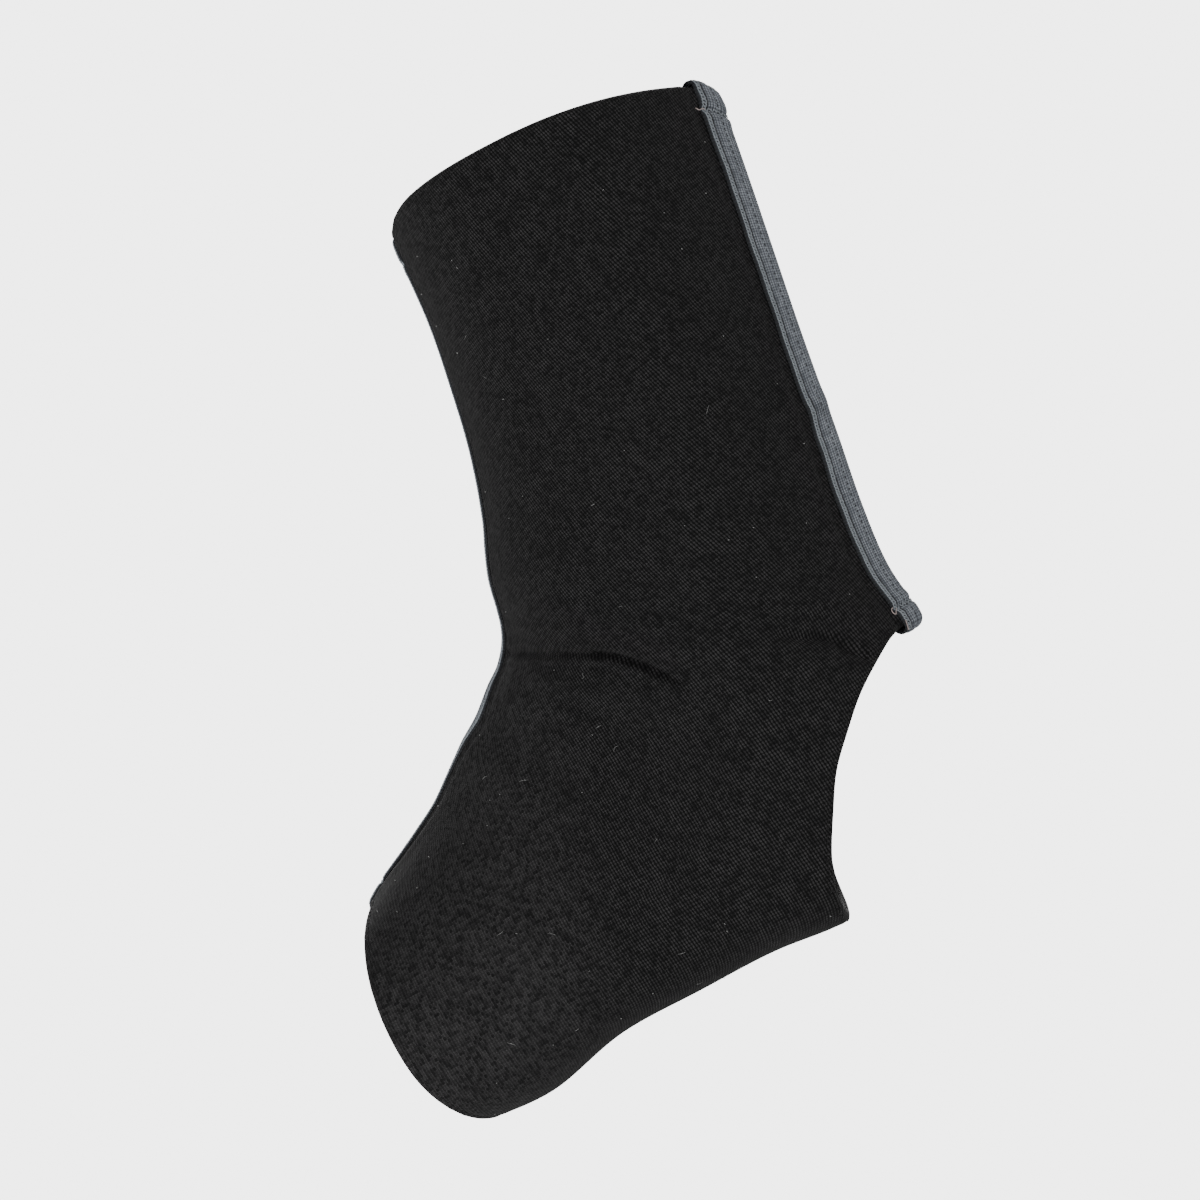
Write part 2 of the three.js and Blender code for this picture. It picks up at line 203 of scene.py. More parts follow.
# Sharper creases inside those folds, and small ones beside them: depth, width, and a line in mm.
CREASES = [
    (0.9, 0.85, [(-33, 26.1), (-28.5, 24.9), (-23.2, 22.5), (-16.8, 19.7), (-8.5, 15.3), (-3.9, 11.6),
                 (-1.1, 8.9), (2.1, 5), (5.6, 0.2)]),
    (0.95, 0.75, [(-12, 17.3), (-8.5, 15.3), (-3.9, 11.6), (-1.1, 8.9), (2.1, 5), (5.9, -0.2)]),
    (0.4, 0.9, [(-30.5, 26.5), (-31.8, 23.5), (-34, 20), (-37, 17.5)]),
    (0.5, 1.2, [(-24, 31), (-15, 27.5), (-8, 25)]),
    (0.45, 1.6, [(-31, 17), (-23, 11.5), (-17, 4), (-14, -5)]),
    (0.9, 1, [(28.5, 1.8), (34.5, -2), (40.1, -4.7), (43.8, -9.6), (47.1, -14.8)]),
    (0.35, 1.6, [(24, 10), (33, 7.5), (43, 6)]),
    (0.3, 2.2, [(46, 62), (52, 48), (53, 36)]),
    (0.3, 3, [(-26.8, -38.8), (-46, -42.4), (-63.3, -45.9), (-84.4, -51.6)]),
    (0.25, 2.4, [(-4, 96), (2, 84), (3, 70)]),
    (0.3, 2, [(-12, 44), (-3, 38), (8, 35)]),
    (0.25, 2.5, [(12, -20), (2, -32), (-12, -38)]),
]


def creased(side, lines, wide, fade):
    """Depth of a set of creases at places of the side view, with a low lip along each."""
    height = np.zeros(side.shape[:-1])
    for depth, width, line in lines:
        line = np.array(line, float)
        line = between(np.linspace(0, len(line) - 1, 140), line)
        away, where = away_from(line, side)
        ends = np.clip(np.minimum(where, 1 - where) * fade, 0, 1)
        ends = ends * ends * (3 - 2 * ends)
        height += depth * ends * (0.42 * bell((away - wide * width) / width) - bell(away / width))
    return height


def seam_turn(row, at_front):
    """Where each tape runs: a little round from the ridge that it covers."""
    return np.where(at_front, between(row, TAPE_ROUND), math.pi + 0.025)


def seam_reach(row, turn):
    """Distance from the nearer tape's middle, and whether there is a tape at that seam."""
    turn = turn - 2 * math.pi * np.round(turn / (2 * math.pi))
    at_front = np.abs(turn) < math.pi / 2
    off = turn - seam_turn(row, at_front)
    off = np.abs(off - 2 * math.pi * np.round(off / (2 * math.pi)))
    return off * between(row, half_width) * np.where(at_front, 1.0, 1.08), at_front | (row < 8.2)


def under_tape(row, turn):
    reach, taped = seam_reach(row, turn)
    return np.where(taped, np.exp(-(reach / 8.8) ** 6), 0)


def relief(row, turn, side):
    """Height of the cloth over its smooth form: folds, rolls and the swell over the ankle bone. The
    cloth is stiffer beside a tape, so it folds less there."""
    bone = np.array([0.19 * BACK_REACH, -0.02 * SOLE_DROP])
    height = 2.4 * bell(np.linalg.norm(side - bone, axis=-1) / 17)
    height += creased(side, [(depth, 4.2, line) for depth, line in FOLDS], 2, 3.2)
    reach, taped = seam_reach(row, turn)
    return height * (1 - 0.6 * taped * bell(reach / 10))


def drape(row, turn, side):
    """The finer shape of the cloth: sharp creases, uneven pull, and the puffed foam along each tape."""
    height = creased(side, CREASES, 2.1, 9)
    x, z = side[..., 0], side[..., 1]
    hand = np.where(np.sin(turn) > 0, 0.0, 1.7)
    sway = np.sin(0.11 * x + 0.05 * z + hand) + 0.8 * np.sin(0.07 * z - 0.09 * x + 2 + hand)
    sway += 0.55 * np.sin(0.23 * z + 0.08 * x + 4 * hand) + 0.4 * np.sin(0.31 * x - 0.12 * z + hand)
    height += 0.17 * sway * np.sin(turn) ** 2
    reach, taped = seam_reach(row, turn)
    beside = 0.35 * bell((reach - 12) / 2) - 0.6 * bell((reach - 9.3) / 1)
    return height * (1 - under_tape(row, turn)) + taped * beside


def cloth(row, turn, out, draped=True):
    """A place over the cloth. Under the tapes it keeps the smoother shape that they have too."""
    row, turn = np.broadcast_arrays(np.asarray(row, float), np.asarray(turn, float))
    points = form(row, turn)
    side = points[..., [0, 2]]
    height = relief(row, turn, side)
    if draped:
        height = height + drape(row, turn, side)
    return points + normal_of(row, turn) * (height + out)[..., None]


# How far the hem's rows of points lie from the edge, and how high the cloth stands there
HEM_STEPS = np.array([0, 0.3, 0.7, 1.15, 1.6, 2.2, 3.0])
HEM_HEIGHTS = np.array([-0.42, -0.1, 0.06, -0.2, 0.02, 0.06, 0.0])
HEM_ROWS = len(HEM_STEPS)
# The other rows crowd together over the ankle, for the folds.
RINGS = 178
AROUND = 188
turns = np.arange(AROUND) * 2 * math.pi / AROUND
shares = np.linspace(0, 1, 400)
crowding = 1 + 1.3 * bell((shares - 0.4) / 0.09) + 0.5 * bell((shares - 0.6) / 0.2)
spread = np.concatenate([[0], np.cumsum((crowding[1:] + crowding[:-1]) / 2)])
spread = np.interp(np.linspace(0, 1, RINGS), spread / spread[-1], shares)


def row_length(row):
    """Millimetres to a row of the table, beside a rim, at each turn."""
    return np.linalg.norm(slopes(np.full(AROUND, float(row)), turns, 5e-3)[0], axis=-1)


top_steps = HEM_STEPS[:, None] / row_length(0)
toe_steps = TOE_ROW - HEM_STEPS[::-1, None] / row_length(TOE_ROW)
middle = top_steps[-1] + spread[1:-1, None] * (toe_steps[0] - top_steps[-1])
rows = np.concatenate([top_steps, middle, toe_steps])
LAST = len(rows) - 1
grid_turns = np.broadcast_to(turns, rows.shape)
lift = np.zeros(rows.shape)
lift[:HEM_ROWS] = HEM_HEIGHTS[:, None]
lift[-HEM_ROWS:] = HEM_HEIGHTS[::-1, None]
fray = np.random.default_rng(7).normal(0, 1, (2, AROUND))
lift[0] += 0.07 * fray[0]
lift[-1] += 0.07 * fray[1]

# The heel opening, found on the rows and turns: rays from its middle, and where each meets the edge.
heel_edge = curve(HEEL_EDGE, 200)
far = 2 * BACK_REACH
heel_outline = np.vstack([heel_edge, [far, heel_edge[-1, 1]], [far, heel_edge[0, 1]]])


def inside(points, outline):
    """Which places of a plane lie inside a closed outline."""
    x, y = points[..., 0], points[..., 1]
    found = np.zeros(x.shape, bool)
    for (ax, ay), (bx, by) in zip(outline, np.roll(outline, -1, 0)):
        if ay == by:
            continue
        crosses = (ay > y) != (by > y)
        found ^= crosses & (x < ax + (bx - ax) * (y - ay) / (by - ay))
    return found


# PLANE is about how many mm a row and a radian are long there.
HEEL_MIDDLE = np.array([9.9, math.pi])
PLANE = np.array([14.0, 40.0])
rays = np.linspace(0, 2 * math.pi, 720, endpoint=False)
heading = np.stack([np.cos(rays) * 0.075, np.sin(rays) * 0.026], 1)
near_end, far_end = np.zeros(len(rays)), np.full(len(rays), 60.0)
for _ in range(26):
    half = (near_end + far_end) / 2
    place = HEEL_MIDDLE + heading * half[:, None]
    spot = cloth(place[:, 0], place[:, 1], -WALL / 2)
    cut = inside(spot[:, [0, 2]], heel_outline)
    near_end, far_end = np.where(cut, half, near_end), np.where(cut, far_end, half)
loop = HEEL_MIDDLE + heading * near_end[:, None]
spot = cloth(loop[:, 0], loop[:, 1], 0)
stride = np.linalg.norm(np.roll(spot, -1, 0) - spot, axis=1)
walked = np.concatenate([[0], np.cumsum(stride)])
HEEL_POINTS = 300
even = np.linspace(0, walked[-1], HEEL_POINTS, endpoint=False)
ringed = np.vstack([loop, loop[:1]])
loop = np.stack([np.interp(even, walked, ringed[:, k]) for k in (0, 1)], 1)
for _ in range(3):
    loop = (np.roll(loop, 1, 0) + 2 * loop + np.roll(loop, -1, 0)) / 4


def heel_slopes(at):
    """Away from the opening on the cloth: as a direction, and as steps of row and turn to a mm."""
    by_row, by_turn = slopes(at[:, 0], at[:, 1], 5e-3)
    tangent = np.roll(at, -1, 0) - np.roll(at, 1, 0)
    tangent = unit(by_row * tangent[:, :1] + by_turn * tangent[:, 1:])
    outward = unit(np.cross(unit(np.cross(by_turn, by_row)), tangent))
    if np.mean(np.sum(outward * (by_row * (at - HEEL_MIDDLE)[:, :1]), 1)) < 0:
        outward = -outward
    steps = np.linalg.pinv(np.stack([by_row, by_turn], -1)) @ outward[..., None]
    return outward, steps[..., 0]


hem_loops = [loop]
away_from_heel = heel_slopes(loop)[0]
for step in np.diff(HEM_STEPS):
    at = hem_loops[-1]
    at = at + heel_slopes(at)[1] * step
    hem_loops.append((np.roll(at, 1, 0) + 6 * at + np.roll(at, -1, 0)) / 8)
hem_loops = hem_loops[::-1]
outer_loop = hem_loops[0] * PLANE

# The regular mesh is left out in the opening, and a band of triangles joins it to the hem.
plane_grid = np.stack([rows, grid_turns], -1) * PLANE
wide_turns = np.concatenate([plane_grid, plane_grid[:, :1] + [0, 2 * math.pi * PLANE[1]]], 1)
blocked = inside(wide_turns, outer_loop)
near = (np.abs(wide_turns - HEEL_MIDDLE * PLANE) < [110, 90]).all(-1)
gap = np.full(blocked.shape, 9.0)
gap[near] = np.linalg.norm(wide_turns[near][:, None] - outer_loop[None], axis=-1).min(1)
blocked |= gap < 0.75
keep = ~(blocked[:-1, :-1] | blocked[1:, :-1] | blocked[:-1, 1:] | blocked[1:, 1:])
index = np.arange(rows.size).reshape(rows.shape)
wrapped = np.concatenate([index, index[:, :1]], 1)
quads = np.stack([wrapped[:-1, :-1], wrapped[1:, :-1], wrapped[1:, 1:], wrapped[:-1, 1:]], -1)
kept_quads = quads[keep]
used = {}
for face in kept_quads.tolist():
    for a, b in zip(face, face[1:] + face[:1]):
        used[(a, b)] = True
stairs = {}
for a, b in used:
    if (b, a) not in used and 0 < a // AROUND < LAST:
        stairs[a] = b
ordered = [next(iter(stairs))]
while stairs[ordered[-1]] != ordered[0]:
    ordered.append(stairs[ordered[-1]])
stair_points = plane_grid.reshape(-1, 2)[ordered]
band = np.vstack([stair_points, outer_loop])
count = len(ordered)
edges = [(k, (k + 1) % count) for k in range(count)]
edges += [(count + k, count + (k + 1) % HEEL_POINTS) for k in range(HEEL_POINTS)]
made = delaunay_2d_cdt([Vector(p) for p in band.tolist()], edges, [], 0, 1e-7, True)
origin = [min(sources) for sources in made[3]]
names = ordered + [rows.size + k for k in range(HEEL_POINTS)]
band_faces = []
for face in made[2]:
    corners = [origin[v] for v in face]
    centre = band[corners].mean(0)
    if inside(centre[None], stair_points)[0] and not inside(centre[None], outer_loop)[0]:
        band_faces.append([names[k] for k in corners])

all_rows = np.concatenate([rows.ravel()] + [at[:, 0] for at in hem_loops])
all_turns = np.concatenate([grid_turns.ravel()] + [at[:, 1] for at in hem_loops])
dimple = np.where(np.arange(HEEL_POINTS) % 2 == 0, -0.09, 0.09)
heel_lift = [h + dimple * bell((d - 1.15) / 0.4) for d, h in zip(HEM_STEPS[::-1], HEM_HEIGHTS[::-1])]
all_lift = np.concatenate([lift.ravel()] + heel_lift)
all_lift = all_lift * (1 - under_tape(all_rows, all_turns))


def belt(upper, lower):
    """Faces between two closed rings of points."""
    return np.stack([upper, np.roll(upper, -1), np.roll(lower, -1), lower], -1).tolist()


hem_faces = []
for ring in range(HEM_ROWS - 1):
    upper = rows.size + ring * HEEL_POINTS + np.arange(HEEL_POINTS)
    hem_faces += belt(upper, upper + HEEL_POINTS)

outer = cloth(all_rows, all_turns, all_lift)
inner = cloth(all_rows, all_turns, -WALL - all_lift * 0.6)
skins = len(outer)
faces = kept_quads.tolist() + band_faces + hem_faces
points = [outer, inner]
all_faces = faces + [[v + skins for v in face[::-1]] for face in faces]
EDGE_STEPS = 4


def close_rim(top, outward):
    """The rounded edge of the foam between the outer and the inner skin."""
    size = len(top)
    start = sum(len(p) for p in points)
    for k in range(1, EDGE_STEPS):
        share = k / EDGE_STEPS
        bulge = 0.5 * math.sin(math.pi * share)
        points.append(outer[top] * (1 - share) + inner[top] * share + outward * bulge)
    rings = [top] + [start + k * size + np.arange(size) for k in range(EDGE_STEPS - 1)] + [top + skins]
    for upper, lower in zip(rings[:-1], rings[1:]):
        all_faces.extend(belt(upper, lower))


def rim_outward(row, sign):
    at = np.full(AROUND, float(row))
    return unit(form(at + sign * 1e-2, turns) - form(at, turns))


top_ring = np.arange(AROUND)
toe_ring = LAST * AROUND + np.arange(AROUND)
heel_ring = rows.size + (HEM_ROWS - 1) * HEEL_POINTS + np.arange(HEEL_POINTS)
close_rim(top_ring, rim_outward(0, -1))
close_rim(toe_ring, rim_outward(TOE_ROW, 1))
close_rim(heel_ring, -away_from_heel)
sleeve_points = np.vstack(points)


def flat_place(row, turn):
    """Where a place lay on the flat cut of cloth, in mm, so that the knit runs true on both halves."""
    turn = turn - 2 * math.pi * np.round(turn / (2 * math.pi))
    steps = np.linspace(0, math.pi, 61)
    levels = np.linspace(0, TOE_ROW, 81)
    ring = form(levels[:, None], steps[None], arched=False)
    arc = np.cumsum(np.linalg.norm(np.diff(ring, axis=1), axis=2), 1)
    arc = np.concatenate([np.zeros((len(levels), 1)), arc], 1)
    arc = arc - arc[:, len(steps) // 2, None]
    at_level = np.clip(row / TOE_ROW * (len(levels) - 1), 0, len(levels) - 1.001)
    at_step = np.clip(np.abs(turn) / math.pi * (len(steps) - 1), 0, len(steps) - 1.001)
    around = between_both(at_level, at_step, arc)
    # Towards the back seam the cloth is stretched wider.
    around = around - 0.16 * np.clip(around - 10, 0, None)
    front, back = between(row, front_seam_line), between(row, back_seam_line)
    forward = unit(front - back)
    mid = between(row, SECTIONS[:, 6])[..., None]
    middle_line = front * (1 - mid) + back * mid
    up = np.stack([forward[..., 1], -forward[..., 0]], -1) * arch(row, turn)[..., None]
    place = middle_line - forward * around[..., None] + up
    x, z = place[..., 0], place[..., 1]
    lean = 1 / (1 + np.exp((5 - z) / 12))
    across = x + 0.06 * z + 2.8 * np.log1p(np.exp((z - 5) / 12))
    return np.stack([across, z - (0.04 + 0.14 * lean) * (x - 15)], -1)


# Millimetres of flat cloth to one unit of the layer that the materials read
FLAT_UNIT = 100.0


def piece(name, points, faces, slot, flat=None):
    """A mesh in metres, on the part's one body. flat gives each point's place on the flat cloth."""
    mesh = bpy.data.meshes.new(name)
    mesh.from_pydata((np.asarray(points) / 1000).tolist(), [], faces)
    mesh.validate()
    shell = bmesh.new()
    shell.from_mesh(mesh)
    bmesh.ops.recalc_face_normals(shell, faces=shell.faces)
    shell.to_mesh(mesh)
    shell.free()
    if flat is not None:
        layer = mesh.uv_layers.new(name="flat")
        corner = np.empty(len(mesh.loops), int)
        mesh.loops.foreach_get("vertex_index", corner)
        layer.data.foreach_set("uv", (np.asarray(flat)[corner] / FLAT_UNIT).astype(np.float32).ravel())
    mesh.polygons.foreach_set("use_smooth", np.ones(len(mesh.polygons), bool))
    made = bpy.data.objects.new(name, mesh)
    bpy.context.scene.collection.objects.link(made)
    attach(made, "root")
    return made


flat_skin = flat_place(all_rows, all_turns)
rim_flats = [np.tile(flat_skin[ring], (EDGE_STEPS - 1, 1)) for ring in (top_ring, toe_ring, heel_ring)]
sleeve_flat = np.vstack([flat_skin, flat_skin + [31.3, 17.7]] + rim_flats)
sleeve = piece("knit_sleeve", sleeve_points, all_faces, "black_knit", sleeve_flat)
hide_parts("sleeve")


def node(tree, kind, links=None, **settings):
    """A shader node with its settings, its links and its plain input values."""
    made = tree.nodes.new(kind)
    for key, value in settings.items():
        setattr(made, key, value)
    for key, value in (links or {}).items():
        if isinstance(value, bpy.types.NodeSocket):
            tree.links.new(value, made.inputs[key])
        else:
            made.inputs[key].default_value = value
    return made


def calc(tree, operation, *values, clamp=False):
    made = node(tree, "ShaderNodeMath", dict(enumerate(values)), operation=operation, use_clamp=clamp)
    return made.outputs[0]


def vector_calc(tree, operation, links):
    return node(tree, "ShaderNodeVectorMath", links, operation=operation).outputs[0]


def noise(tree, place, scale, detail, roughness=0.5):
    links = {"Vector": place, "Scale": scale, "Detail": detail, "Roughness": roughness}
    return node(tree, "ShaderNodeTexNoise", links).outputs


def blend(tree, share, first, second):
    links = {0: share, 6: first, 7: second}
    return node(tree, "ShaderNodeMix", links, data_type="RGBA").outputs[2]


def bumped(tree, shader, height, strength, distance):
    links = {"Strength": strength, "Distance": distance, "Height": height}
    tree.links.new(node(tree, "ShaderNodeBump", links).outputs[0], shader.inputs["Normal"])


def new_group(name, inputs, outputs):
    """A node group. Its place on the flat cloth is a vector, and the rest are numbers."""
    tree = bpy.data.node_groups.new(name, "ShaderNodeTree")
    for direction, labels in (("INPUT", inputs), ("OUTPUT", outputs)):
        for label in labels:
            kind = "NodeSocketVector" if label == "Flat" else "NodeSocketFloat"
            tree.interface.new_socket(label, in_out=direction, socket_type=kind)
    return tree, tree.nodes.new("NodeGroupInput").outputs, tree.nodes.new("NodeGroupOutput").inputs


# A knitted face: wales and courses of small loops that wander a little, each loop with its own tone.
knit, given, gives = new_group(
    "knitted_face", ["Flat", "Wale", "Course", "Wander"], ["Height", "Gap", "Tone"]
)
flat_mm = vector_calc(knit, "SCALE", {0: given["Flat"], 3: FLAT_UNIT})
drift = noise(knit, flat_mm, 0.35, 2.0)["Color"]
drift = vector_calc(knit, "SUBTRACT", {0: drift, 1: (0.5, 0.5, 0.5)})
drift = vector_calc(knit, "SCALE", {0: drift, 3: given["Wander"]})
wandered = vector_calc(knit, "ADD", {0: flat_mm, 1: drift})
wandered = node(knit, "ShaderNodeSeparateXYZ", {0: wandered}).outputs
wale = calc(knit, "DIVIDE", wandered["X"], given["Wale"])
course = calc(knit, "DIVIDE", wandered["Y"], given["Course"])
rib = calc(knit, "COSINE", calc(knit, "MULTIPLY", wale, 2 * math.pi))
bow = calc(knit, "ABSOLUTE", calc(knit, "SINE", calc(knit, "MULTIPLY", wale, math.pi)))
row_wave = calc(knit, "ADD", course, calc(knit, "MULTIPLY", bow, 0.12))
row_wave = calc(knit, "COSINE", calc(knit, "MULTIPLY", row_wave, 2 * math.pi))
rib = calc(knit, "MULTIPLY_ADD", rib, 0.5, 0.5)
row_wave = calc(knit, "MULTIPLY_ADD", row_wave, 0.37, 0.63)
loop_height = calc(knit, "POWER", calc(knit, "MULTIPLY", rib, row_wave), 0.75)
cell = node(knit, "ShaderNodeCombineXYZ", {0: calc(knit, "FLOOR", wale), 1: calc(knit, "FLOOR", course)})
tone = node(knit, "ShaderNodeTexWhiteNoise", {"Vector": cell.outputs[0]}, noise_dimensions="2D")
blotch = noise(knit, flat_mm, 0.09, 4.0, 0.6)[0]
fuzz = calc(knit, "SUBTRACT", noise(knit, flat_mm, 2.6, 3.0, 0.7)[0], 0.5)
knit.links.new(calc(knit, "MULTIPLY_ADD", fuzz, 0.5, loop_height), gives["Height"])
gap_range = {0: loop_height, 1: 0.6, 2: 0.2, 3: 0.0, 4: 1.0}
gap_mask = node(knit, "ShaderNodeMapRange", gap_range, interpolation_type="SMOOTHSTEP")
knit.links.new(gap_mask.outputs[0], gives["Gap"])
tone = calc(knit, "MULTIPLY_ADD", tone.outputs["Value"], 0.9, -0.2)
tone = calc(knit, "MULTIPLY_ADD", blotch, 0.5, tone)
knit.links.new(calc(knit, "MULTIPLY_ADD", fuzz, 0.6, tone, clamp=True), gives["Tone"])


def new_material(name, roughness, specular, sheen=0.0, sheen_tint=(1, 1, 1, 1)):
    made = bpy.data.materials.new(name)
    made.use_nodes = True
    shader = made.node_tree.nodes["Principled BSDF"]
    shader.inputs["Roughness"].default_value = roughness
    shader.inputs["Specular IOR Level"].default_value = specular
    shader.inputs["Sheen Weight"].default_value = sheen
    shader.inputs["Sheen Roughness"].default_value = 0.45
    shader.inputs["Sheen Tint"].default_value = sheen_tint
    return made, made.node_tree, shader


def knitted(tree, shader, colours, wale, course, wander, depth, painted_sheen=0.0):
    """Gives a cloth its knit: the colours of its gaps, darker loops and lighter loops, and its bump."""
    place = node(tree, "ShaderNodeUVMap", uv_map="flat").outputs[0]
    made = node(tree, "ShaderNodeGroup", node_tree=knit)
    tree.links.new(place, made.inputs["Flat"])
    for key, value in (("Wale", wale), ("Course", course), ("Wander", wander)):
        made.inputs[key].default_value = value
    gap_colour, dark, light = ((*c, 1) for c in colours)
    toned = blend(tree, made.outputs["Tone"], dark, light)
    # painted_sheen makes the gaps less dark there, as a painted highlight.
    gap = calc(tree, "MULTIPLY", made.outputs["Gap"], calc(tree, "MULTIPLY_ADD", painted_sheen, -0.5, 1.0))
    holed = blend(tree, gap, toned, gap_colour)
    bumped(tree, shader, made.outputs["Height"], 0.8, depth)
    tree.links.new(holed, shader.inputs["Base Color"])
    return holed


black_knit, tree, shader = new_material("black_knit_nylon", 0.85, 0.12, 0.03)
# Towards the front and over the toes the knit's gaps are less dark: a painted highlight on the side of the
# sleeve that faces the key lamp.
spot = node(tree, "ShaderNodeSeparateXYZ", {0: node(tree, "ShaderNodeTexCoord").outputs["Object"]}).outputs
painted_sheen = calc(tree, "MULTIPLY_ADD", spot["X"], -1000.0, calc(tree, "MULTIPLY_ADD", spot["Z"], 250.0, -20.0))
painted_sheen = calc(tree, "MULTIPLY", painted_sheen, 1 / 28, clamp=True)
knitted(
    tree, shader,
    [(0.0012, 0.0012, 0.0013), (0.0068, 0.0066, 0.0069), (0.037, 0.0358, 0.0365)],
    0.7, 0.83, 0.3, 0.00016, painted_sheen,
)
sleeve.data.materials.append(black_knit)

# The two seam tapes
# Each is a 15 mm ribbed knitted tape in grey nylon and elastic, laid over a glued seam and sewn
# through the foam. Its ends are folded over the rims and held down by a tack across the tape.
TAPE_TURN_IN = 7.0
TAPE_GAP = 0.12
# How far the table of a seam path reaches to each side of the seam, and its columns.
SPAN = 11.0
COLUMNS = 61


class SeamPath:
    """The surface just over a seam, from the folded end inside one rim to that inside the other."""

    def __init__(self, at_front, far_row, half, thick, stations):
        self.half, self.thick = half, thick
        self.tacks = (5.2, 5.2 if at_front else 3.8)
        self.across = np.linspace(-SPAN, SPAN, COLUMNS)
        lengths = np.abs(self.across)
        sides = np.where(self.across < 0, -1.0, 1.0)
        self.levels = np.linspace(0, TOE_ROW, 161)
        stretch = np.arange(0, 0.75, 0.01)
        seam = seam_turn(self.levels, at_front)[:, None]
        ring = form(self.levels[:, None], seam + stretch[None], arched=False)
        arc = np.cumsum(np.linalg.norm(np.diff(ring, axis=1), axis=2), 1)
        arc = np.concatenate([np.zeros((len(arc), 1)), arc], 1)
        at_level = np.array([np.interp(lengths, a, stretch) for a in arc])
        self.turn_table = seam + sides * at_level
        far_rows = self.heel_rows() if far_row is None else np.full(COLUMNS, float(far_row))
        self.near_rows = np.zeros(COLUMNS)
        self.far_rows = far_rows
        low, high = self.lay_path(0.0, stations), self.lay_path(1.0, stations)
        self.base = low
        self.normal = high - low
        centre = low[:, COLUMNS // 2]
        along = np.concatenate([[0], np.cumsum(np.linalg.norm(np.diff(centre, axis=0), axis=1))])
        self.along = along - along[self.first_outer]
        self.length = self.along[self.last_outer]

    def turn_at(self, rows):
        spot = np.clip(rows / TOE_ROW, 0, 1) * (len(self.levels) - 1)
        low = np.clip(spot.astype(int), 0, len(self.levels) - 2)
        part = spot - low
        column = np.broadcast_to(np.arange(COLUMNS), rows.shape)
        return self.turn_table[low, column] * (1 - part) + self.turn_table[low + 1, column] * part

    def at(self, rows, out):
        rows = np.broadcast_to(np.asarray(rows, float), np.shape(rows))
        return cloth(rows, self.turn_at(rows), out, draped=False)

    def heel_rows(self):
        above, below = np.full(COLUMNS, TOE_ROW / 4), np.full(COLUMNS, TOE_ROW / 2)
        for _ in range(24):
            half = (above + below) / 2
            spot = self.at(half, -WALL / 2)
            cut = inside(spot[:, [0, 2]], heel_outline)
            above, below = np.where(cut, above, half), np.where(cut, half, below)
        return above

    def folded_end(self, ends, inward, height):
        """From down inside a rim, up and over it, as rows of points."""
        near = self.at(ends, -WALL)
        slope = np.linalg.norm(self.at(ends + inward * 1e-2, -WALL) - near, axis=1) / 1e-2
        made = []
        for share in (1, 0.8, 0.6, 0.4, 0.2):
            rows = ends + inward * share * TAPE_TURN_IN / slope
            made.append(self.at(rows, -WALL - TAPE_GAP - height))
        middle = self.at(ends, -WALL / 2)
        outward = unit(self.at(ends, 0) - middle)
        away = unit(middle - self.at(ends + inward * 1e-2, -WALL / 2))
        radius = WALL / 2 + TAPE_GAP + height
        for angle in np.linspace(math.pi, 0, 11):
            made.append(middle + radius * (outward * math.cos(angle) + away * math.sin(angle)))
        return made

    def lay_path(self, height, stations):
        start = self.folded_end(self.near_rows, 1, height)
        end = self.folded_end(self.far_rows, -1, height)
        shares = (np.arange(stations) + 1) / (stations + 1)
        rows = shares[:, None] * self.far_rows[None]
        outer_face = cloth(rows, self.turn_at(rows), TAPE_GAP + height, draped=False)
        self.first_outer = len(start) - 1
        self.last_outer = len(start) + stations
        return np.concatenate([np.array(start), outer_face, np.array(end[::-1])])

    def lay(self, along, across, height):
        """Places by their distance down the tape from the top rim, across it, and over the cloth."""
        values = (np.asarray(value, float) for value in (along, across, height))
        along, across, height = np.broadcast_arrays(*values)
        k = np.clip(np.interp(along, self.along, np.arange(len(self.along))), 0, len(self.along) - 1.001)
        j = np.clip((across + SPAN) / (2 * SPAN) * (COLUMNS - 1), 0, COLUMNS - 1.001)
        place, normal = (between_both(k, j, table) for table in (self.base, self.normal))
        return place + normal * height[..., None], normal


# Places across the tape from its middle, for a tape of this half width: the chain, the groove
# beside it and the needle row. Then the pitches of the sewing, and the full thickness.
HALF_TAPE = 7.5
CHAIN_AT = 6.45
GROOVE_AT = 5.45
NEEDLE_AT = 2.2
CHAIN_PITCH = 0.8
NEEDLE_PITCH = 1.42
FULL_THICK = 0.9


def half_breadth(path, along):
    """Half the tape's width: it is drawn in between a rim and the tack, and wanders a little."""
    wide = path.half + 0.12 * np.sin(along * 0.21) + 0.08 * np.sin(along * 0.53 + 1)
    wide = wide - 0.45 * bell((along - 78) / 2.6) + 0.2 * bell((along - 84) / 3)
    for distance, tack in zip((along, path.length - along), path.tacks):
        wide = wide - 0.4 * bell((distance - 2.4) / 1.6) + 0.35 * bell((distance - tack) / 1.1)
    wide = wide - 0.5 * bell((along + 2) / 2.4) + 0.4 * bell((path.length - along + 2) / 2.4)
    return wide


